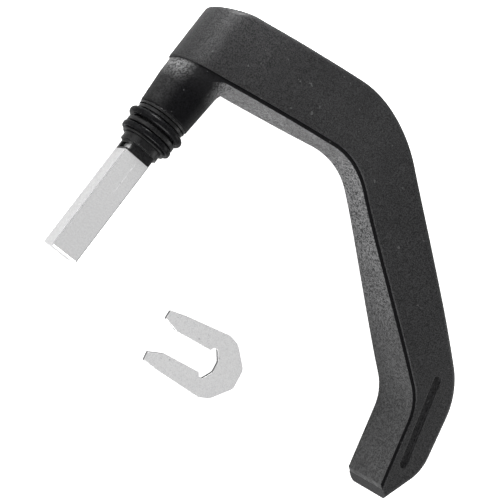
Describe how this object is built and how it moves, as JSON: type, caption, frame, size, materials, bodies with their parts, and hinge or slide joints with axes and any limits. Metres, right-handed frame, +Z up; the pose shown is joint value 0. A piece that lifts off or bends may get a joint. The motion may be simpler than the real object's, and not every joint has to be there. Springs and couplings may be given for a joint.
{
  "type": "lever handle with sealed square drive bar",
  "caption": "Black moulded lever handle with a square metal drive bar, a sealed turning bush at the hub and a loose flat U-shaped retaining clip.",
  "frame": {"origin": "on the hub axis, at the middle of the stem's round collar just below the rings, on the lever's mid-plane", "axes": "+Y up the hub axis, away from the drive bar's end; +X from the hub axis towards the grip; +Z up with the lever lying on its side"},
  "size_m": [0.1552, 0.1119, 0.0214],
  "materials": {
    "black_moulding": "fine spark-eroded texture",
    "core_grey": "coarse spark-eroded texture",
    "bar_metal": "satin, extruded",
    "brass": "machined",
    "pin_steel": "ground",
    "black_rubber": "smooth rubber",
    "bush_plastic": "turned acetal",
    "clip_steel": "zinc plated, stamped"
  },
  "bodies": {
    "lever": {"lever_shell": "black_moulding", "lever_core": "core_grey", "hub_insert": "brass", "drive_spindle": "bar_metal", "cross_pin": "pin_steel", "stem": "bush_plastic"},
    "bush": {"gland_bush": "bush_plastic", "upper_o_ring": "black_rubber", "lower_ring": "black_rubber", "hub_washer": "bush_plastic"},
    "clip": {"retaining_clip": "clip_steel"}
  },
  "joints": [
    {"name": "bush_spin", "type": "hinge", "parent": "lever", "child": "bush", "pos_m": [0, 0.0063, 0], "axis": [0, 1, 0], "continuous": true},
    {"name": "clip_lift", "type": "slide", "parent": "lever", "child": "clip", "axis": [0, 0, 1], "range_m": [0, 0.04]}
  ]
}
